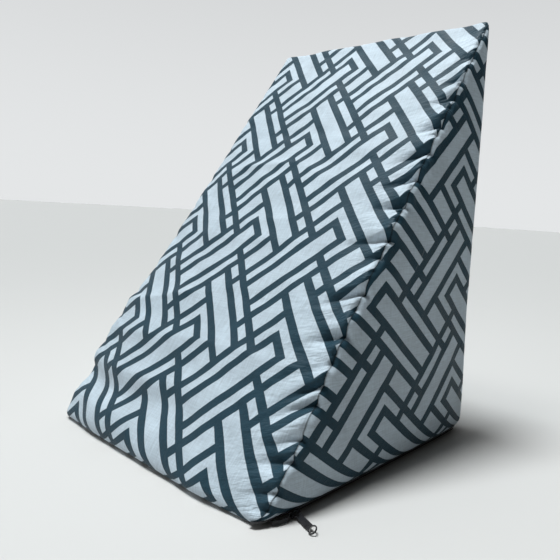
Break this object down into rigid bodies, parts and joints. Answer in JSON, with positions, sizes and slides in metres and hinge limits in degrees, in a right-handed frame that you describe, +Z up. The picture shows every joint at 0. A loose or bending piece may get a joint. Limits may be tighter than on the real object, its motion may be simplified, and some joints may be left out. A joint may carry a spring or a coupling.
{
  "type": "triangle wedge cushion",
  "caption": "Firm right-triangle wedge cushion in a printed cover, upright back, sloping face, puckered seams and a zip along a base edge.",
  "frame": {"origin": "centre of the flat base between the two side seams, on the surface the cushion stands on", "axes": "+Z up to the top edge, +Y towards the upright back, -Y towards the low front edge of the slope, +X towards the side panel with the zip"},
  "size_m": [0.4622, 0.3954, 0.5695],
  "materials": {
    "printed_cloth": "smooth printed polyester canvas with a fine plain weave, pale blue-grey bars on a dark slate blue ground",
    "zip_webbing": "black woven polyester tape",
    "zip_nylon": "black nylon coil",
    "zip_metal": "black lacquered die-cast metal, slightly worn at the rim of the hole"
  },
  "bodies": {
    "root": {"cushion": "printed_cloth", "zip_tape": "zip_webbing", "tape_tail": "zip_webbing", "zip_coil": "zip_nylon", "zip_slider": "zip_metal", "zip_pull": "zip_metal"}
  },
  "joints": []
}
